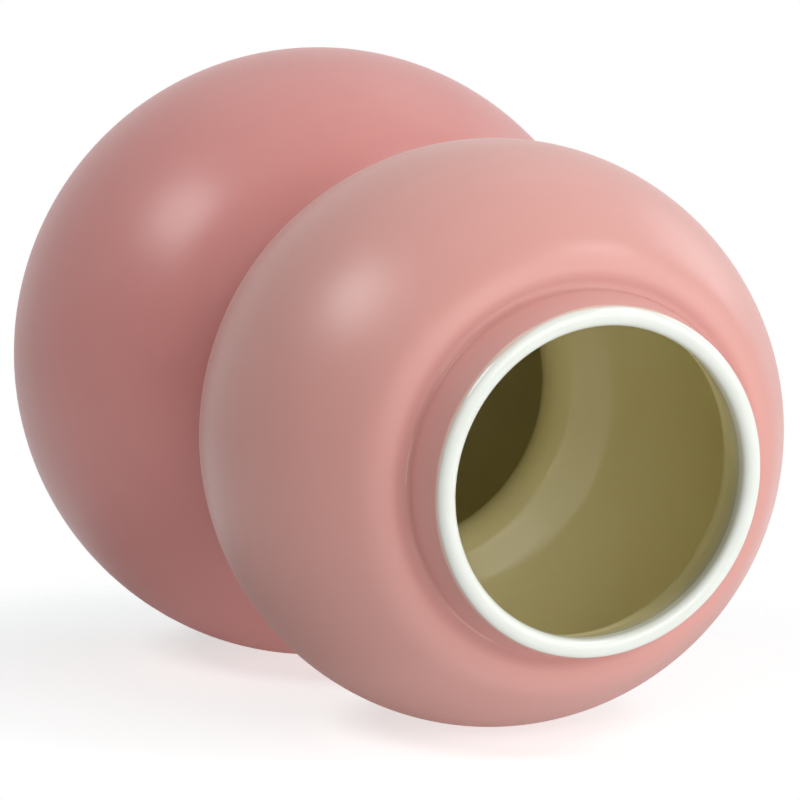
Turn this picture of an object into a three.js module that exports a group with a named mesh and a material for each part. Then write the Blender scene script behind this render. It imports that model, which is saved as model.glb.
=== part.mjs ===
import * as THREE from 'three';

// Driving dimensions, in millimetres, outside sizes taken over the fired coats
const LOWER_RADIUS = 75;
const LOWER_HALF_HEIGHT = 71;
const UPPER_RADIUS = 66;
const UPPER_HALF_HEIGHT = 62.4;
// outside radius of the ring in which the two rounds would cross, which sets how far apart the bubbles are
const CROSSING_RADIUS = 44.6;
const WALL = 4.2;
// waist between the bubbles: its outside radius, the rounding of its groove and the slope of its flanks
const WAIST_RADIUS = 39.4;
const WAIST_ROUND = 3.5;
const WAIST_SLOPE = 0.35;
// standing ring under the lower bubble
const FOOT_RADIUS = 36;
const FOOT_WIDTH = 6;
const FOOT_HEIGHT = 2;
const FOOT_BEVEL = 0.5;
// base inside the standing ring, and the rounding where the inside floor meets the wall
const BASE_THICKNESS = 4.5;
const FLOOR_ROUND = 3;
// mouth: outside radius of the lip, its dome, and how far it reaches down inside
const LIP_RADIUS = 38.1;
const LIP_DOME = 1.7;
const LIP_TURN = 1.4;
// collar under the lip: its height, how far it leans in, and how far its root lies under the bubble's crown
const COLLAR_HEIGHT = 10.8;
const COLLAR_LEAN = 2.1;
const ROOT_DROP = 18.2;
const ROOT_ROUND = 1.8;
// angles off a bubble's middle at which its round ends and runs in to the waist and to the collar
const WAIST_ANGLE = 0.56;
const SHOULDER_ANGLE = 0.62;
// share of such a run over which it keeps the direction of each of its ends
const RUN_PULL = 0.4;
// fired coats, and the bare clay left over the standing ring
const MATTE_COAT = 0.5;
const LIP_COAT = 0.5;
const INNER_COAT = 0.5;
const BARE_CLAY = 1.6;
// facets
const TURNS = 32;
const UNDER_STEPS = 5;
const SIDE_STEPS = 3;
const RUN_STEPS = 3;
const WAIST_STEPS = 4;
const LIP_STEPS = 6;

// Depths under the outside skin: clay lies between the matte coat and the inner glaze
const clayOutside = MATTE_COAT;
const clayInside = WALL - INNER_COAT;

// Heights that follow: each bubble's centre lies where its round reaches the foot or the crossing
const reach = (half, radius, edge) => half * Math.sqrt(1 - (edge / radius) ** 2);
const lowerCentre = FOOT_HEIGHT + reach(LOWER_HALF_HEIGHT, LOWER_RADIUS, FOOT_RADIUS);
const waistHeight = lowerCentre + reach(LOWER_HALF_HEIGHT, LOWER_RADIUS, CROSSING_RADIUS);
const upperCentre = waistHeight + reach(UPPER_HALF_HEIGHT, UPPER_RADIUS, CROSSING_RADIUS);
const rootRadius = LIP_RADIUS + COLLAR_LEAN;
const rootHeight = upperCentre + UPPER_HALF_HEIGHT - ROOT_DROP;
const lipHeight = rootHeight + COLLAR_HEIGHT;
const floorHeight = FOOT_HEIGHT + BASE_THICKNESS;

// A bubble's skin at some depth under its outside
function bubble(radius, halfHeight, centre, depth) {
  const wide = radius - depth;
  const tall = halfHeight - depth;
  const at = (angle) => [wide * Math.cos(angle), centre + tall * Math.sin(angle)];
  const slope = (angle) => [-wide * Math.sin(angle), tall * Math.cos(angle)];
  const angleAt = (height) => Math.asin((height - centre) / tall);
  return { at, slope, angleAt };
}

const lower = (depth) => bubble(LOWER_RADIUS, LOWER_HALF_HEIGHT, lowerCentre, depth);
const upper = (depth) => bubble(UPPER_RADIUS, UPPER_HALF_HEIGHT, upperCentre, depth);

// Round side of a bubble, with one ring of facets at its widest
function side(skin, from, underSteps, to, overSteps) {
  const points = [];
  for (let i = underSteps; i > 0; i -= 1) {
    points.push(skin.at((from * i) / underSteps));
  }
  for (let i = 0; i <= overSteps; i += 1) {
    points.push(skin.at((to * i) / overSteps));
  }
  return points;
}

const between = (p, q, share) => [p[0] + (q[0] - p[0]) * share, p[1] + (q[1] - p[1]) * share];

// Run of a skin from the end of its round to a ring further in, smooth at both ends
function runIn(start, along, end, slope) {
  const pull = RUN_PULL * Math.hypot(end[0] - start[0], end[1] - start[1]);
  const stretch = pull / Math.hypot(...along);
  const first = [start[0] + along[0] * stretch, start[1] + along[1] * stretch];
  const second = [end[0] + pull * Math.cos(slope), end[1] - pull * Math.sin(slope)];
  const points = [];
  for (let i = 1; i <= RUN_STEPS; i += 1) {
    const t = i / RUN_STEPS;
    const a = between(start, first, t);
    const b = between(first, second, t);
    const c = between(second, end, t);
    points.push(between(between(a, b, t), between(b, c, t), t));
  }
  return points;
}

// Waist: a groove of one rounding, about whose centre the wall keeps its thickness
function waistRound(depth) {
  const radius = WAIST_ROUND + depth;
  const quarter = Math.PI / 2 - WAIST_SLOPE;
  const points = [];
  for (let i = 0; i <= WAIST_STEPS; i += 1) {
    const angle = quarter * ((2 * i) / WAIST_STEPS - 1);
    const across = WAIST_RADIUS + WAIST_ROUND - radius * Math.cos(angle);
    points.push([across, waistHeight + radius * Math.sin(angle)]);
  }
  return points;
}

function lowerSide(depth, start) {
  const skin = lower(depth);
  const round = side(skin, skin.angleAt(start), UNDER_STEPS, WAIST_ANGLE, SIDE_STEPS);
  const run = runIn(skin.at(WAIST_ANGLE), skin.slope(WAIST_ANGLE), waistRound(depth)[0], WAIST_SLOPE);
  return [...round, ...run];
}

function upperSide(depth) {
  const skin = upper(depth);
  const [inward, upward] = skin.slope(-WAIST_ANGLE);
  const run = runIn(skin.at(-WAIST_ANGLE), [-inward, -upward], waistRound(depth).at(-1), -WAIST_SLOPE);
  const round = side(skin, -WAIST_ANGLE, SIDE_STEPS, SHOULDER_ANGLE, SIDE_STEPS);
  const shoulder = runIn(skin.at(SHOULDER_ANGLE), skin.slope(SHOULDER_ANGLE), rootFoot(depth), 0);
  return [...run.reverse(), ...round, ...shoulder];
}

// Collar: a short wall that leans in from its root, where the shoulder arrives level, to its lip
const rootFoot = (depth) => [rootRadius + ROOT_ROUND - 0.6 * depth, rootHeight - depth];

function collarFoot(depth) {
  const lean = (COLLAR_LEAN * ROOT_ROUND) / COLLAR_HEIGHT;
  return [rootRadius - lean - depth, rootHeight + ROOT_ROUND];
}

function rootMiddle(depth) {
  const foot = rootFoot(depth);
  const wall = collarFoot(depth);
  return between(between(foot, wall, 0.5), [wall[0], foot[1]], 0.5);
}

const lipEdge = (depth) => [LIP_RADIUS - depth, lipHeight];
const lipTurn = (depth) => [LIP_RADIUS - depth, lipHeight - LIP_TURN];

// Lip: a dome over the collar's wall, from its outer edge to where it turns down inside
function lip(outerDepth, innerDepth, rise) {
  const middle = LIP_RADIUS - (outerDepth + innerDepth) / 2;
  const half = (innerDepth - outerDepth) / 2;
  const points = [];
  for (let i = 0; i <= LIP_STEPS; i += 1) {
    const angle = (Math.PI * i) / LIP_STEPS;
    points.push([middle + half * Math.cos(angle), lipHeight + rise * Math.sin(angle)]);
  }
  return [...points, lipTurn(innerDepth)];
}

// Whole skins, from the foot up to the lip
const waistInner = (depth) => waistRound(depth).slice(1, -1);

function outsideSkin(depth) {
  const low = lowerSide(depth, FOOT_HEIGHT + BARE_CLAY);
  const neck = [rootMiddle(depth), collarFoot(depth), lipEdge(depth)];
  return [...low, ...waistInner(depth), ...upperSide(depth), ...neck];
}

function insideFloor(depth) {
  const height = floorHeight - (WALL - depth);
  const skin = lower(depth);
  const corner = skin.at(skin.angleAt(height))[0];
  const edge = skin.at(skin.angleAt(height + FLOOR_ROUND))[0];
  return [
    [0, height],
    [2 * corner - edge, height],
    [corner, height + FLOOR_ROUND / 4],
  ];
}

function insideLow(depth) {
  return lowerSide(depth, floorHeight - (WALL - depth) + FLOOR_ROUND);
}

function insideSkin(depth) {
  const low = [...insideFloor(depth), ...insideLow(depth)];
  const neck = [rootMiddle(depth), collarFoot(depth), lipTurn(depth)];
  return [...low, ...waistInner(depth), ...upperSide(depth), ...neck];
}

// Turned solid about the upright axis; a profile off the axis closes on itself
function turned(name, profile, colour, roughness) {
  const onAxis = profile[0][0] === 0;
  const loop = onAxis ? profile : [...profile, profile[0]];
  const points = loop.map(([r, z]) => new THREE.Vector2(r, z));
  const geometry = new THREE.LatheGeometry(points, TURNS);
  geometry.rotateX(Math.PI / 2);
  const material = new THREE.MeshStandardMaterial({ color: colour, roughness, metalness: 0 });
  const mesh = new THREE.Mesh(geometry, material);
  mesh.name = name;
  return mesh;
}

const CLAY = 0xe6ddcf;
const SLIP = 0xdcd1c0;
const MATTE_PINK = 0xd18c86;
const LIP_WHITE = 0xf0f3ec;
const OLIVE = 0xe2dab8;

// Lower bubble: clay, with its standing ring left bare
const footInside = FOOT_RADIUS - FOOT_WIDTH;
const foot = [
  [0, FOOT_HEIGHT],
  [footInside, FOOT_HEIGHT],
  [footInside, FOOT_BEVEL],
  [footInside + FOOT_BEVEL, 0],
  [FOOT_RADIUS - MATTE_COAT - FOOT_BEVEL, 0],
  [FOOT_RADIUS - MATTE_COAT, FOOT_BEVEL],
];
const footTop = lower(clayOutside);
const footShoulder = footTop.at(footTop.angleAt(FOOT_HEIGHT));
const lowerBubble = turned(
  'lower_bubble',
  [
    ...foot,
    footShoulder,
    ...lowerSide(clayOutside, FOOT_HEIGHT + BARE_CLAY),
    ...insideLow(clayInside).reverse(),
    ...insideFloor(clayInside).reverse(),
  ],
  CLAY,
  0.9,
);

// Upper bubble: clay, open at the waist and at the neck
const upperBubble = turned(
  'upper_bubble',
  [...upperSide(clayOutside), ...upperSide(clayInside).reverse()],
  CLAY,
  0.9,
);

// Waist seam: slip between the two bubbles, the whole round of the groove
const waistSeam = turned(
  'waist_seam',
  [...waistRound(clayOutside), ...waistRound(clayInside).reverse()],
  SLIP,
  0.9,
);

// Collar seam: slip between the upper bubble and the collar
const collarSeam = turned(
  'collar_seam',
  [
    rootFoot(clayOutside),
    rootMiddle(clayOutside),
    collarFoot(clayOutside),
    collarFoot(clayInside),
    rootMiddle(clayInside),
    rootFoot(clayInside),
  ],
  SLIP,
  0.9,
);

// Collar: clay ring with a domed top
const neckCollar = turned(
  'neck_collar',
  [collarFoot(clayOutside), ...lip(clayOutside, clayInside, LIP_DOME - LIP_COAT), collarFoot(clayInside)],
  CLAY,
  0.9,
);

// Matte coat: pink skin over both bubbles and the collar
const matteCoat = turned(
  'matte_coat',
  [...outsideSkin(0), ...outsideSkin(clayOutside).reverse()],
  MATTE_PINK,
  0.55,
);

// Lip glaze: white gloss over the collar's top
const lipGlaze = turned(
  'lip_glaze',
  [...lip(0, WALL, LIP_DOME), ...lip(clayOutside, clayInside, LIP_DOME - LIP_COAT).reverse()],
  LIP_WHITE,
  0.15,
);

// Inner glaze: pale olive gloss lining of both bubbles and the collar
const innerGlaze = turned(
  'inner_glaze',
  [...insideSkin(clayInside), ...insideSkin(WALL).reverse()],
  OLIVE,
  0.2,
);

const vase = new THREE.Group();
vase.name = 'bubble_vase';
vase.add(lowerBubble, upperBubble, waistSeam, collarSeam, neckCollar, matteCoat, lipGlaze, innerGlaze);

export default vase;
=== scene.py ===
import math

import bmesh
import bpy
from mathutils import Matrix, Vector


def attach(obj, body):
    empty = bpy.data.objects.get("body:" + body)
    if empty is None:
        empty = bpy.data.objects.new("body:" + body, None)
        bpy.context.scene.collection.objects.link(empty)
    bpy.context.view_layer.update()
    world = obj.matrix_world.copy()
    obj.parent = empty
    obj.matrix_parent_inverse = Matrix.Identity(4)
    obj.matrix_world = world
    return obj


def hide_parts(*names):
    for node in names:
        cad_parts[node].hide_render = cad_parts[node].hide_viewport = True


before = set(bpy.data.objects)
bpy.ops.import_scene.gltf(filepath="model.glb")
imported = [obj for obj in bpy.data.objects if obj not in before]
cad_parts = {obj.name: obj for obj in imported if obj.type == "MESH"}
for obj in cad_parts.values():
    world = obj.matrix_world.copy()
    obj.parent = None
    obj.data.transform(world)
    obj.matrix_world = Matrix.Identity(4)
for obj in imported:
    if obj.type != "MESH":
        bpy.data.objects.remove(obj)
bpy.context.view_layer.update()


# Lower bubble
# The large belly of the vase, pale stoneware cast as one thin shell with a level floor inside.
# It stands on a turned ring, whose clay stays bare so that it doesn't stick in the kiln.
# Each coat is a skin over it, so the clay starts at clay_out under the vase's outside and ends at clay_in.
wall = 0.0042
skin = 0.0005
clay_out = skin
clay_in = wall - skin
lower_radius = 0.075
lower_rise = 0.071
lower_middle = 0.064286
waist_height = 0.121367
waist_radius = 0.0394
waist_round = 0.0035
waist_slope = 0.35
waist_angle = 0.56
run_pull = 0.4
foot_radius = 0.036
foot_width = 0.006
foot_height = 0.002
foot_bevel = 0.0005
base_middle = 0.5
base_round_wide = 0.0012
base_round_tall = 0.0008
bare_band = 0.0016
floor_height = 0.0065
floor_round = 0.003
floor_middle = 0.4
on_axis = 1e-7
sharp_edge = math.radians(50)
clay_cream = (0.72, 0.63, 0.50, 1.0)
clay_speck = (0.36, 0.27, 0.19, 1.0)
clay_sand = 1400.0


def bend(start, corner, end, steps):
    """Rounded corner from start to end, drawn towards the sharp corner."""
    points = []
    for i in range(steps + 1):
        t = i / steps
        a, b, c = (1 - t) ** 2, 2 * t * (1 - t), t * t
        points.append(tuple(a * p + b * q + c * s for p, q, s in zip(start, corner, end)))
    return points


def belly(radius, rise, middle, depth, first, last, steps):
    """Round of a bubble at some depth under its outside, from one angle off its middle to another."""
    across = radius - depth
    tall = rise - depth
    angles = [first + (last - first) * i / steps for i in range(steps + 1)]
    return [(across * math.cos(a), middle + tall * math.sin(a)) for a in angles]


def run_in(round_points, end, slope, steps=14):
    """Run of the skin from the end of a round to a ring further in, smooth at both ends."""
    start = Vector(round_points[-1])
    end = Vector(end)
    pull = run_pull * (end - start).length
    first = start + (start - Vector(round_points[-2])).normalized() * pull
    second = end + Vector((math.cos(slope), -math.sin(slope))) * pull
    points = []
    for i in range(1, steps + 1):
        t = i / steps
        a, b, c = start.lerp(first, t), first.lerp(second, t), second.lerp(end, t)
        points.append(tuple(a.lerp(b, t).lerp(b.lerp(c, t), t)))
    return points


def waist_groove(depth):
    """Round of the waist, from the lower bubble to the upper one."""
    radius = waist_round + depth
    quarter = math.pi / 2 - waist_slope
    angles = [quarter * (i / 8 - 1) for i in range(17)]
    centre = waist_radius + waist_round
    return [(centre - radius * math.cos(a), waist_height + radius * math.sin(a)) for a in angles]


def lower_angle(depth, height):
    """Angle off the lower bubble's middle at which its round reaches a height."""
    return math.asin((height - lower_middle) / (lower_rise - depth))


def lower_side(depth, low):
    """Skin of the lower bubble, from a low height up to the waist."""
    first = lower_angle(depth, low)
    points = belly(lower_radius, lower_rise, lower_middle, depth, first, waist_angle, steps=48)
    return points + run_in(points, waist_groove(depth)[0], waist_slope)


def lower_inside(depth):
    """Skin of the lower bubble's hollow, from the middle of its floor up to the waist."""
    level = floor_height - (wall - depth)
    side = lower_side(depth, level + floor_round)
    corner = (lower_radius - depth) * math.cos(lower_angle(depth, level))
    rounded = bend((2 * corner - side[0][0], level), (corner, level), side[0], steps=8)
    return [(0.0, level), (floor_middle * corner, level)] + rounded[:-1] + side


def turned(name, profile, turns=144):
    """Closed body turned about the upright axis from (radius, height) points."""
    shape = bmesh.new()
    rings = []
    for radius, height in profile:
        if radius < on_axis:
            rings.append([shape.verts.new((0.0, 0.0, height))])
            continue
        ring = []
        for i in range(turns):
            a = 2 * math.pi * i / turns
            ring.append(shape.verts.new((radius * math.cos(a), radius * math.sin(a), height)))
        rings.append(ring)
    pairs = list(zip(rings, rings[1:]))
    if len(rings[0]) > 1:
        pairs.append((rings[-1], rings[0]))
    for ring, after in pairs:
        for i in range(turns):
            j = (i + 1) % turns
            if len(ring) == 1:
                shape.faces.new((ring[0], after[i], after[j]))
            elif len(after) == 1:
                shape.faces.new((ring[i], ring[j], after[0]))
            else:
                shape.faces.new((ring[i], ring[j], after[j], after[i]))
    bmesh.ops.recalc_face_normals(shape, faces=shape.faces[:])
    mesh = bpy.data.meshes.new(name)
    shape.to_mesh(mesh)
    shape.free()
    mesh.shade_smooth()
    mesh.set_sharp_from_angle(angle=sharp_edge)
    piece = bpy.data.objects.new(name, mesh)
    bpy.context.collection.objects.link(piece)
    return piece


def wire(tree, kind, inputs=None, **settings):
    """Adds a shader node, and gives each input a plain value or another node's output."""
    made = tree.nodes.new(kind)
    for name, value in settings.items():
        setattr(made, name, value)
    for name, value in (inputs or {}).items():
        if hasattr(value, "is_output"):
            tree.links.new(value, made.inputs[name])
        else:
            made.inputs[name].default_value = value
    return made


def reckon(tree, operation, *terms):
    """Result of a math node on values, each a number or another node's output."""
    return wire(tree, "ShaderNodeMath", dict(enumerate(terms)), operation=operation).outputs[0]


def ramp(tree, source, low, high, to_low=0.0, to_high=1.0):
    """Smooth step of a value from low to high."""
    inputs = {"Value": source, "From Min": low, "From Max": high, "To Min": to_low, "To Max": to_high}
    return wire(tree, "ShaderNodeMapRange", inputs, interpolation_type="SMOOTHSTEP").outputs["Result"]


def tint(tree, share, first, second):
    """Mixes two colours, each given as a colour or as another node's output."""
    return wire(tree, "ShaderNodeMix", {"Factor": share, 6: first, 7: second}, data_type="RGBA").outputs[2]


def relief(tree, surface, height, strength, distance):
    """Fine bumps of a surface."""
    inputs = {"Height": height, "Strength": strength, "Distance": distance}
    bump = wire(tree, "ShaderNodeBump", inputs)
    tree.links.new(bump.outputs["Normal"], surface.inputs["Normal"])


def new_finish(name):
    """New material with its node tree and its surface shader."""
    finish = bpy.data.materials.new(name)
    finish.use_nodes = True
    tree = finish.node_tree
    return finish, tree, tree.nodes["Principled BSDF"]


def new_effect(name, inputs):
    """Shader node group with these inputs, which puts out a colour, a roughness and a height."""
    group = bpy.data.node_groups.new(name, "ShaderNodeTree")
    outputs = {"Color": "NodeSocketColor", "Roughness": "NodeSocketFloat", "Height": "NodeSocketFloat"}
    for side, sockets in (("INPUT", inputs), ("OUTPUT", outputs)):
        for title, kind in sockets.items():
            group.interface.new_socket(title, in_out=side, socket_type=kind)
    return group, wire(group, "NodeGroupInput").outputs


# grain of fired stoneware: cloudy tone, fine sand and a few dark specks
kiln_grain, given = new_effect("kiln grain", {
    "Clay": "NodeSocketColor",
    "Speck": "NodeSocketColor",
    "Grain Scale": "NodeSocketFloat",
})
where = wire(kiln_grain, "ShaderNodeTexCoord").outputs["Object"]
sand = wire(kiln_grain, "ShaderNodeTexNoise", {
    "Vector": where,
    "Scale": given["Grain Scale"],
    "Detail": 5.0,
    "Roughness": 0.7,
}).outputs["Fac"]
cloud = wire(kiln_grain, "ShaderNodeTexNoise", {"Vector": where, "Scale": 55.0, "Detail": 3.0})
pits = wire(kiln_grain, "ShaderNodeTexVoronoi", {"Vector": where, "Scale": 620.0, "Randomness": 1.0})
speck_mask = ramp(kiln_grain, pits.outputs["Distance"], 0.10, 0.17, 1.0, 0.0)
shade = reckon(kiln_grain, "MULTIPLY", sand, 0.5)
shade = reckon(kiln_grain, "MULTIPLY_ADD", cloud.outputs["Fac"], 0.5, shade)
toned = wire(kiln_grain, "ShaderNodeHueSaturation", {
    "Color": given["Clay"],
    "Saturation": 1.0,
    "Value": ramp(kiln_grain, shade, 0.2, 0.8, 0.86, 1.08),
})
wire(kiln_grain, "NodeGroupOutput", {
    "Color": tint(kiln_grain, speck_mask, toned.outputs["Color"], given["Speck"]),
    "Roughness": ramp(kiln_grain, sand, 0.25, 0.75, 0.72, 0.9),
    "Height": sand,
})

bare_clay, tree, surface = new_finish("bare clay")
grain = wire(tree, "ShaderNodeGroup", {
    "Clay": clay_cream,
    "Speck": clay_speck,
    "Grain Scale": clay_sand,
}, node_tree=kiln_grain)
tree.links.new(grain.outputs["Color"], surface.inputs["Base Color"])
tree.links.new(grain.outputs["Roughness"], surface.inputs["Roughness"])
relief(tree, surface, grain.outputs["Height"], strength=0.35, distance=0.0003)

foot_in = foot_radius - foot_width
foot_out = foot_radius - skin
ring = [(0.0, foot_height), (base_middle * foot_in, foot_height)]
ring += bend(
    (foot_in - base_round_wide, foot_height),
    (foot_in, foot_height),
    (foot_in, foot_height - base_round_tall),
    steps=5,
)
ring += bend((foot_in, foot_bevel), (foot_in, 0.0), (foot_in + foot_bevel, 0.0), steps=5)
ring += bend((foot_out - foot_bevel, 0.0), (foot_out, 0.0), (foot_out, foot_bevel), steps=5)
band_top = foot_height + bare_band
ring += belly(
    lower_radius, lower_rise, lower_middle, clay_out,
    lower_angle(clay_out, foot_height), lower_angle(clay_out, band_top), steps=3,
)[:-1]
lower_bubble = turned(
    "lower_bubble_clay",
    ring + lower_side(clay_out, band_top) + lower_inside(clay_in)[::-1],
)
lower_bubble.data.materials.append(bare_clay)
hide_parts("lower_bubble")
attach(lower_bubble, "root")


# Upper bubble
# The smaller shell, cast from the same stoneware and open at both ends.
# Its round runs in to the waist below. Above its middle it flattens into a shoulder, level at the collar.
upper_radius = 0.066
upper_rise = 0.0624
upper_middle = 0.167365
shoulder_angle = 0.62
root_radius = 0.0402
root_height = 0.211565
root_round = 0.0018
root_narrowing = 0.6


def root_foot(depth):
    """Where the shoulder ends, at the root of the collar."""
    return (root_radius + root_round - root_narrowing * depth, root_height - depth)


def upper_side(depth):
    """Skin of the upper bubble, from the waist up to the root of the collar."""
    points = belly(upper_radius, upper_rise, upper_middle, depth, -waist_angle, shoulder_angle, steps=44)
    under = run_in(points[::-1], waist_groove(depth)[-1], -waist_slope)
    return under[::-1] + points + run_in(points, root_foot(depth), 0.0)


upper_bubble = turned("upper_bubble_clay", upper_side(clay_out) + upper_side(clay_in)[::-1])
upper_bubble.data.materials.append(bare_clay)
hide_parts("upper_bubble")
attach(upper_bubble, "root")


# Waist seam
# The two leather-hard shells are stuck together here with slip, a clay cream.
# It is wiped to a round groove outside and to a soft throat inside.
slip_cream = (0.64, 0.55, 0.43, 1.0)
slip_speck = (0.42, 0.33, 0.24, 1.0)
slip_sand = 2200.0

fired_slip, tree, surface = new_finish("fired slip")
grain = wire(tree, "ShaderNodeGroup", {
    "Clay": slip_cream,
    "Speck": slip_speck,
    "Grain Scale": slip_sand,
}, node_tree=kiln_grain)
tree.links.new(grain.outputs["Color"], surface.inputs["Base Color"])
tree.links.new(grain.outputs["Roughness"], surface.inputs["Roughness"])
wiped = wire(tree, "ShaderNodeTexWave", {
    "Vector": wire(tree, "ShaderNodeTexCoord").outputs["Object"],
    "Scale": 260.0,
    "Distortion": 1.5,
    "Detail": 2.0,
}, bands_direction="Z")
relief(tree, surface, wiped.outputs["Fac"], strength=0.25, distance=0.0002)

waist_seam = turned("waist_seam_slip", waist_groove(clay_out) + waist_groove(clay_in)[::-1])
waist_seam.data.materials.append(fired_slip)
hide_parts("waist_seam")
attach(waist_seam, "root")


# Collar seam
# A thin ring of the same slip that sticks the collar on the shoulder.
# Outside it is wiped into the fine crease at the collar's root.
lip_radius = 0.0381
lip_height = 0.2223646
lip_turn = 0.0014
collar_lean = (root_radius - lip_radius) / (lip_height - root_height)


def collar_foot(depth):
    """Where the collar's straight side starts, over the crease."""
    return (root_radius - collar_lean * root_round - depth, root_height + root_round)


def root_fillet(depth):
    """Round of the crease, from the shoulder to the collar's side."""
    foot = root_foot(depth)
    side = collar_foot(depth)
    return bend(foot, (side[0], foot[1]), side, steps=8)


collar_seam = turned("collar_seam_slip", root_fillet(clay_out) + root_fillet(clay_in)[::-1])
collar_seam.data.materials.append(fired_slip)
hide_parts("collar_seam")
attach(collar_seam, "root")


# Neck collar
# The short clay mouth ring, leaning in a little towards its top.
# Its edge is sponged to a low dome before the vase is fired.
lip_dome = 0.0017


def lip_arch(outer, inner, rise):
    """Low dome across the collar's top, then straight down to where the white glaze ends inside."""
    centre = lip_radius - 0.5 * (outer + inner)
    half = 0.5 * (inner - outer)
    angles = [math.pi * i / 20 for i in range(21)]
    dome = [(centre + half * math.cos(a), lip_height + rise * math.sin(a)) for a in angles]
    return dome + [(lip_radius - inner, lip_height - lip_turn)]


neck_collar = turned(
    "neck_collar_clay",
    [collar_foot(clay_out)] + lip_arch(clay_out, clay_in, lip_dome - skin) + [collar_foot(clay_in)],
)
neck_collar.data.materials.append(bare_clay)
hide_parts("neck_collar")
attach(neck_collar, "root")


# Matte coat
# A dusty pink coat sprayed over both bubbles and the collar and fired to a satin matte.
# It lies thinner and paler where it turns over an edge, and is painted darker in the creases as painted
# shade.
# Over the upper bubble its colour is painted a little paler and warmer than over the lower one, as painted
# light for the more lit upper bubble.
pink = (0.690, 0.284, 0.263, 1.0)
pink_deep = (0.658, 0.258, 0.240, 1.0)
# paler, warmer colour painted over the upper bubble as painted light
pink_painted_light = (0.742, 0.396, 0.344, 1.0)
# colour of the painted shade in the creases
pink_crease_shade = (0.40, 0.120, 0.110, 1.0)
pink_thin = (0.77, 0.42, 0.37, 1.0)
peach = (0.86, 0.66, 0.55, 1.0)
# heights and strength of the painted light over the upper bubble
painted_light_low = waist_height - 0.010
painted_light_high = waist_height + 0.030
painted_light_most = 0.6
crease_radius = root_radius + 0.0010
crease_height = root_height + 0.0001
groove_radius = waist_radius + 0.0003
# reach and strength of the painted shade in the creases
crease_shade_reach = 0.0034
crease_shade_most = 0.30
hair_radius = root_radius + 0.0003
hair_height = root_height + 0.0003
hair_reach = 0.0003
hair_most = 0.30
edge_wander = 0.0009
lip_fringe = 0.0006
feather_low = 0.0040
feather_high = 0.0056
feather_most = 0.7
fine_turns = 192


def collar_side(depth, top, steps=8):
    """Straight side of the collar, from over the crease up to a height."""
    foot = collar_foot(depth)
    reach = lip_radius - depth - foot[0]
    rise = top - foot[1]
    return [(foot[0] + reach * i / steps, foot[1] + rise * i / steps) for i in range(steps + 1)]


def outside(depth):
    """Skin of the vase from over the bare standing ring to the lip."""
    low = foot_height + bare_band + (skin - depth)
    bubbles = lower_side(depth, low) + waist_groove(depth)[1:-1] + upper_side(depth)
    return bubbles + root_fillet(depth)[1:-1] + collar_side(depth, lip_height)


def from_axis(tree, where):
    """Distance of a place on the vase from the upright axis."""
    split = wire(tree, "ShaderNodeSeparateXYZ", {"Vector": where}).outputs
    flat = wire(tree, "ShaderNodeCombineXYZ", {"X": split["X"], "Y": split["Y"]}).outputs["Vector"]
    return wire(tree, "ShaderNodeVectorMath", {0: flat}, operation="LENGTH").outputs["Value"]


def from_floor(tree, where):
    """Height of a place on the vase."""
    return wire(tree, "ShaderNodeSeparateXYZ", {"Vector": where}).outputs["Z"]


def ring_mask(tree, radius, height, at_radius, at_height, near, far):
    """1 close to a level ring about the axis, fading to 0 further from it."""
    aside = reckon(tree, "SUBTRACT", radius, at_radius)
    above = reckon(tree, "SUBTRACT", height, at_height)
    offset = wire(tree, "ShaderNodeCombineXYZ", {"X": aside, "Y": above}).outputs["Vector"]
    away = wire(tree, "ShaderNodeVectorMath", {0: offset}, operation="LENGTH").outputs["Value"]
    return ramp(tree, away, near, far, 1.0, 0.0)


matte_coat = turned("matte_coat", outside(0.0) + outside(clay_out)[::-1], turns=fine_turns)

dusty_pink, tree, surface = new_finish("dusty pink matte coat")
where = wire(tree, "ShaderNodeTexCoord").outputs["Object"]
radius = from_axis(tree, where)
height = from_floor(tree, where)
mottle = wire(tree, "ShaderNodeTexNoise", {
    "Vector": where,
    "Scale": 22.0,
    "Detail": 4.0,
    "Roughness": 0.55,
}).outputs["Fac"]
powder = wire(tree, "ShaderNodeTexNoise", {
    "Vector": where,
    "Scale": 1500.0,
    "Detail": 3.0,
    "Roughness": 0.6,
}).outputs["Fac"]
colour = tint(tree, ramp(tree, mottle, 0.3, 0.72), pink_deep, pink)
# painted light: paler and warmer over the upper bubble, which is more lit than the lower one
colour = tint(tree, ramp(tree, height, painted_light_low, painted_light_high, 0.0, painted_light_most), colour, pink_painted_light)
colour = tint(tree, ramp(tree, powder, 0.62, 0.8, 0.0, 0.22), colour, pink_thin)

# painted shade: darker in the two creases, with a broken pale hairline at the collar's root
root_crease_shade = ring_mask(tree, radius, height, crease_radius, crease_height, 0.0002, crease_shade_reach)
waist_crease_shade = ring_mask(tree, radius, height, groove_radius, waist_height, 0.0006, crease_shade_reach)
crease_shade = reckon(tree, "MAXIMUM", root_crease_shade, waist_crease_shade)
colour = tint(tree, reckon(tree, "MULTIPLY", crease_shade, crease_shade_most), colour, pink_crease_shade)
hair = ring_mask(tree, radius, height, hair_radius, hair_height, 0.00002, hair_reach)
broken = wire(tree, "ShaderNodeTexNoise", {"Vector": where, "Scale": 60.0, "Detail": 2.0}).outputs["Fac"]
hair = reckon(tree, "MULTIPLY", hair, ramp(tree, broken, 0.50, 0.66, 0.0, hair_most))
colour = tint(tree, hair, colour, peach)

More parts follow.
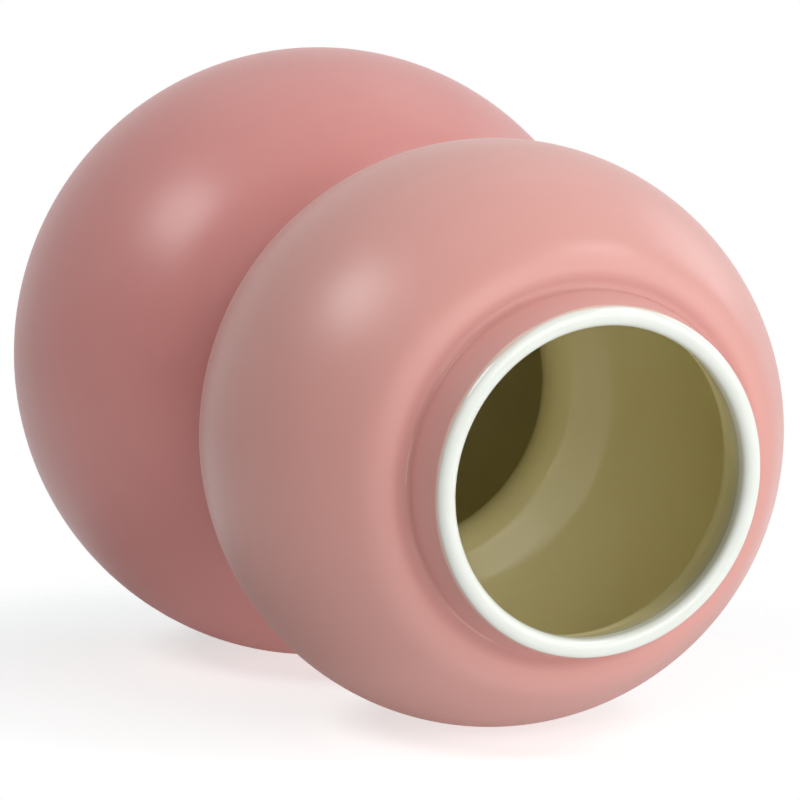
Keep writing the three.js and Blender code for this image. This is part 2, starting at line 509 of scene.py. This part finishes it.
# thin at its two ends, under the lip's glaze and over the bare standing ring
wander = wire(tree, "ShaderNodeTexNoise", {"Vector": where, "Scale": 90.0, "Detail": 2.0}).outputs["Fac"]
run = reckon(tree, "MULTIPLY_ADD", wander, edge_wander, height)
colour = tint(tree, ramp(tree, run, lip_height - lip_fringe, lip_height + lip_fringe), colour, peach)
colour = tint(tree, ramp(tree, run, feather_low, feather_high, feather_most, 0.0), colour, pink_thin)
tree.links.new(colour, surface.inputs["Base Color"])
tree.links.new(ramp(tree, powder, 0.3, 0.7, 0.32, 0.40), surface.inputs["Roughness"])
relief(tree, surface, powder, strength=0.06, distance=0.0002)
surface.inputs["Specular IOR Level"].default_value = 0.48
surface.inputs["Sheen Weight"].default_value = 0.06
surface.inputs["Sheen Roughness"].default_value = 0.5
matte_coat.data.materials.append(dusty_pink)
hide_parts("matte_coat")
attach(matte_coat, "root")


# Lip glaze
# White gloss glaze poured over the collar's top, thick on the crown and running a little way down inside.
# At its outer edge it thins out over the pink, which shows through as a peach line.
lip_white = (0.84, 0.875, 0.81, 1.0)
lip_white_thin = (0.78, 0.80, 0.72, 1.0)
lip_edge = (0.80, 0.66, 0.55, 1.0)
lip_edge_start = lip_radius - 0.0002
lip_edge_end = lip_radius + 0.0003
lip_edge_wander = 0.0005
lip_flow = 120.0

# slow waviness of a melted glaze, with the tone that goes with its thickness
glaze_flow, given = new_effect("glaze flow", {
    "Thick": "NodeSocketColor",
    "Thin": "NodeSocketColor",
    "Flow Scale": "NodeSocketFloat",
})
where = wire(glaze_flow, "ShaderNodeTexCoord").outputs["Object"]
sag = wire(glaze_flow, "ShaderNodeTexNoise", {
    "Vector": where,
    "Scale": given["Flow Scale"],
    "Detail": 2.0,
    "Roughness": 0.4,
}).outputs["Fac"]
pinhole = wire(glaze_flow, "ShaderNodeTexVoronoi", {"Vector": where, "Scale": 240.0, "Randomness": 1.0})
pinhole_mask = ramp(glaze_flow, pinhole.outputs["Distance"], 0.03, 0.07, 0.35, 0.0)
thinned = reckon(glaze_flow, "MAXIMUM", ramp(glaze_flow, sag, 0.3, 0.7, 0.3, 0.0), pinhole_mask)
wire(glaze_flow, "NodeGroupOutput", {
    "Color": tint(glaze_flow, thinned, given["Thick"], given["Thin"]),
    "Roughness": ramp(glaze_flow, sag, 0.3, 0.7, 0.10, 0.17),
    "Height": sag,
})

lip_glaze = turned(
    "lip_glaze",
    lip_arch(0.0, wall, lip_dome) + lip_arch(clay_out, clay_in, lip_dome - skin)[::-1],
    turns=fine_turns,
)

white_gloss, tree, surface = new_finish("white lip gloss")
flow = wire(tree, "ShaderNodeGroup", {
    "Thick": lip_white,
    "Thin": lip_white_thin,
    "Flow Scale": lip_flow,
}, node_tree=glaze_flow)
where = wire(tree, "ShaderNodeTexCoord").outputs["Object"]
wander = wire(tree, "ShaderNodeTexNoise", {"Vector": where, "Scale": 90.0, "Detail": 2.0}).outputs["Fac"]
edge = reckon(tree, "MULTIPLY_ADD", wander, lip_edge_wander, from_axis(tree, where))
thinned = ramp(tree, edge, lip_edge_start, lip_edge_end)
tree.links.new(tint(tree, thinned, flow.outputs["Color"], lip_edge), surface.inputs["Base Color"])
tree.links.new(flow.outputs["Roughness"], surface.inputs["Roughness"])
relief(tree, surface, flow.outputs["Height"], strength=0.12, distance=0.0004)
surface.inputs["Coat Weight"].default_value = 0.3
surface.inputs["Coat Roughness"].default_value = 0.05
lip_glaze.data.materials.append(white_gloss)
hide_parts("lip_glaze")
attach(lip_glaze, "root")


# Inner glaze
# A pale olive gloss glaze poured round inside the finished shell and tipped out again.
# It starts under the white lip and runs down the collar and both bubbles to the floor.
olive = (0.94, 0.865, 0.53, 1.0)
olive_thin = (0.95, 0.89, 0.60, 1.0)
lip_run = (0.80, 0.80, 0.68, 1.0)
lip_run_low = lip_height - 0.0055
lip_run_high = lip_height + 0.0010
lip_run_wander = 0.004
lining_flow = 45.0


def inside(depth):
    """Skin of the hollow from the middle of the floor to where the white lip ends."""
    bubbles = lower_inside(depth) + waist_groove(depth)[1:-1] + upper_side(depth)
    return bubbles + root_fillet(depth)[1:-1] + collar_side(depth, lip_height - lip_turn)


inner_glaze = turned("inner_glaze", inside(clay_in) + inside(wall)[::-1])

olive_gloss, tree, surface = new_finish("olive gloss lining")
flow = wire(tree, "ShaderNodeGroup", {
    "Thick": olive,
    "Thin": olive_thin,
    "Flow Scale": lining_flow,
}, node_tree=glaze_flow)
where = wire(tree, "ShaderNodeTexCoord").outputs["Object"]
wander = wire(tree, "ShaderNodeTexNoise", {"Vector": where, "Scale": 40.0, "Detail": 3.0}).outputs["Fac"]
run = reckon(tree, "MULTIPLY_ADD", wander, lip_run_wander, from_floor(tree, where))
mingled = ramp(tree, run, lip_run_low, lip_run_high)
tree.links.new(tint(tree, mingled, flow.outputs["Color"], lip_run), surface.inputs["Base Color"])
tree.links.new(flow.outputs["Roughness"], surface.inputs["Roughness"])
relief(tree, surface, flow.outputs["Height"], strength=0.15, distance=0.0006)
surface.inputs["Specular IOR Level"].default_value = 0.25
inner_glaze.data.materials.append(olive_gloss)
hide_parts("inner_glaze")
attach(inner_glaze, "root")


# Floor and white sheet
# A plain white floor under the standing ring, and a white sheet that touches the side of both bubbles.
# Seen along the sheet the vase lies on its side on it, as in the photograph.
# The sheet takes the vase's shadow and lets the lamp behind it through, so that the vase has no dark side.
ground_tone = (0.96, 1.0, 1.0, 1.0)
floor_half = 2.0
floor_white = (0.60, 0.60, 0.60, 1.0)
floor_glow = 0.55
foot_contact = (0.0, 0.0, 0.0)
foot_shadow = (-0.010, -0.005, 0.0)
foot_shadow_near = 0.040
foot_shadow_far = 0.066
sheet_half = 1.5
sheet_white = (0.70, 0.70, 0.70, 1.0)
sheet_glow = 0.60
sheet_normal = Vector((0.704406, -0.704406, -0.08732)).normalized()
sheet_offset = -0.080584
sheet_contact = (-0.050, 0.050, 0.100)
sheet_shadow = (-0.045, 0.060, 0.100)
sheet_shadow_near = 0.10
sheet_shadow_far = 0.17


def white_ground(name, corners):
    """Flat ground through four corners."""
    mesh = bpy.data.meshes.new(name)
    mesh.from_pydata([tuple(c) for c in corners], [], [(0, 1, 2, 3)])
    ground = bpy.data.objects.new(name, mesh)
    bpy.context.collection.objects.link(ground)
    return ground


def distance_from(tree, place):
    """Distance of the shaded point from a place."""
    where = wire(tree, "ShaderNodeTexCoord").outputs["Object"]
    return wire(tree, "ShaderNodeVectorMath", {0: where, 1: place}, operation="DISTANCE").outputs["Value"]


def background_rays(tree):
    """1 for the rays that show the background: to the camera, off a glaze or through glass."""
    rays = wire(tree, "ShaderNodeLightPath").outputs
    shown = reckon(tree, "MAXIMUM", rays["Is Camera Ray"], rays["Is Glossy Ray"])
    return reckon(tree, "MAXIMUM", shown, rays["Is Transmission Ray"])


def ground_finish(name, glow, white, contact, near, far):
    """White ground: its glow shows as background only, so that shadows on it stay soft and pale.
    In a reflection the glow ends near the contact, where the vase shades the ground."""
    finish = bpy.data.materials.new(name)
    finish.use_nodes = True
    tree = finish.node_tree
    tree.nodes.clear()
    mirrored = wire(tree, "ShaderNodeLightPath").outputs["Is Glossy Ray"]
    shaded = ramp(tree, distance_from(tree, contact), near, far, 1.0, 0.0)
    lit = reckon(tree, "SUBTRACT", background_rays(tree), reckon(tree, "MULTIPLY", mirrored, shaded))
    level = reckon(tree, "MULTIPLY", lit, glow)
    shine = wire(tree, "ShaderNodeEmission", {"Color": ground_tone, "Strength": level})
    paper = wire(tree, "ShaderNodeBsdfDiffuse", {"Color": white})
    both = wire(tree, "ShaderNodeAddShader", {0: shine.outputs[0], 1: paper.outputs[0]})
    return finish, tree, both.outputs[0]


floor = white_ground("floor", [
    (-floor_half, -floor_half, 0),
    (floor_half, -floor_half, 0),
    (floor_half, floor_half, 0),
    (-floor_half, floor_half, 0),
])
floor.visible_shadow = False
floor.visible_diffuse = False
floor.visible_glossy = False
pale_floor, tree, ground = ground_finish(
    "white floor", floor_glow, floor_white, contact=foot_contact, near=0.036, far=0.066,
)
near_foot = ramp(tree, distance_from(tree, foot_shadow), foot_shadow_near, foot_shadow_far, 1.0, 0.0)
clear = wire(tree, "ShaderNodeBsdfTransparent").outputs[0]
mixed = wire(tree, "ShaderNodeMixShader", {0: near_foot, 1: clear, 2: ground})
wire(tree, "ShaderNodeOutputMaterial", {"Surface": mixed.outputs[0]})
floor.data.materials.append(pale_floor)

sheet_point = sheet_normal * sheet_offset
sheet_across = sheet_normal.cross(Vector((0, 0, 1))).normalized() * sheet_half
sheet_along = sheet_across.normalized().cross(sheet_normal).normalized() * sheet_half
sheet = white_ground("sheet", [
    sheet_point - sheet_across - sheet_along,
    sheet_point + sheet_across - sheet_along,
    sheet_point + sheet_across + sheet_along,
    sheet_point - sheet_across + sheet_along,
])
if sheet.data.polygons[0].normal.dot(sheet_normal) < 0:
    sheet.data.flip_normals()
sheet.visible_shadow = False
sheet.visible_diffuse = False
white_sheet, tree, ground = ground_finish(
    "white sheet", sheet_glow, sheet_white, contact=sheet_contact, near=0.070, far=0.150,
)
far_off = ramp(tree, distance_from(tree, sheet_shadow), sheet_shadow_near, sheet_shadow_far)
seen = wire(tree, "ShaderNodeLightPath").outputs["Is Camera Ray"]
behind = wire(tree, "ShaderNodeNewGeometry").outputs["Backfacing"]
hidden = reckon(tree, "MAXIMUM", reckon(tree, "MULTIPLY", far_off, seen), behind)
clear = wire(tree, "ShaderNodeBsdfTransparent").outputs[0]
mixed = wire(tree, "ShaderNodeMixShader", {0: hidden, 1: ground, 2: clear})
wire(tree, "ShaderNodeOutputMaterial", {"Surface": mixed.outputs[0]})
sheet.data.materials.append(white_sheet)


# Lamps
# A large soft box beside the mouth is the main light, with weaker ones round it.
# A small one at the other side leaves an oval sheen on each bubble.
# A wide one behind the sheet lights the side that faces it, and a white room fills the rest.
vase_middle = Vector((0.0, 0.0, 0.118))
room_fill = 0.04
room_white = 1.0


def soft_box(name, direction, distance, across, watts):
    """Square lamp that faces the middle of the vase."""
    lamp = bpy.data.lights.new(name, "AREA")
    lamp.shape = "SQUARE"
    lamp.size = across
    lamp.energy = watts
    box = bpy.data.objects.new(name, lamp)
    bpy.context.collection.objects.link(box)
    box.location = vase_middle + Vector(direction).normalized() * distance
    box.rotation_euler = (vase_middle - box.location).to_track_quat("-Z", "Y").to_euler()
    box.visible_camera = False


soft_box("main_soft_box", (-0.079, -0.525, 0.847), distance=1.2, across=1.2, watts=7.6)
soft_box("side_soft_box", (-0.337, -0.735, 0.588), distance=1.2, across=0.9, watts=1.35)
soft_box("shoulder_soft_box", (0.204, -0.875, 0.438), distance=1.0, across=0.3, watts=1.65)
soft_box("top_soft_box", (0.550, -0.801, -0.236), distance=1.2, across=1.3, watts=2.1)
soft_box("rim_soft_box", (-0.292, -0.923, -0.250), distance=1.2, across=0.5, watts=1.4)
soft_box("low_soft_box", (0.241, -0.098, 0.966), distance=1.2, across=1.2, watts=4.5)
soft_box("small_soft_box", (0.996, -0.006, -0.086), distance=0.9, across=0.3, watts=2.6)
soft_box("under_soft_box", (-0.579, 0.616, 0.534), distance=1.2, across=2.2, watts=14.4)

room = bpy.data.worlds.new("white room")
bpy.context.scene.world = room
room.use_nodes = True
tree = room.node_tree
tree.nodes.clear()
level = ramp(tree, background_rays(tree), 0.0, 1.0, room_fill, room_white)
backdrop = wire(tree, "ShaderNodeBackground", {"Color": (1, 1, 1, 1), "Strength": level})
wire(tree, "ShaderNodeOutputWorld", {"Surface": backdrop.outputs[0]})


# Camera
# It looks down into the mouth from 26 degrees off the vase's axis.
# It is turned about its own line of sight so that the vase lies as in the photograph.
camera_place = (0.38990, 0.14090, 0.96254)
camera_sight = Vector((-0.415206, -0.147624, -0.897670))
camera_turn = math.radians(115.152)

lens = bpy.data.cameras.new("camera")
lens.sensor_width = 36.0
lens.lens = 180.0
camera = bpy.data.objects.new("camera", lens)
bpy.context.collection.objects.link(camera)
camera.location = camera_place
upright = camera_sight.to_track_quat("-Z", "Y").to_matrix()
camera.rotation_euler = (upright @ Matrix.Rotation(camera_turn, 3, "Z")).to_euler()
bpy.context.scene.camera = camera
bpy.context.scene.view_settings.view_transform = "Standard"
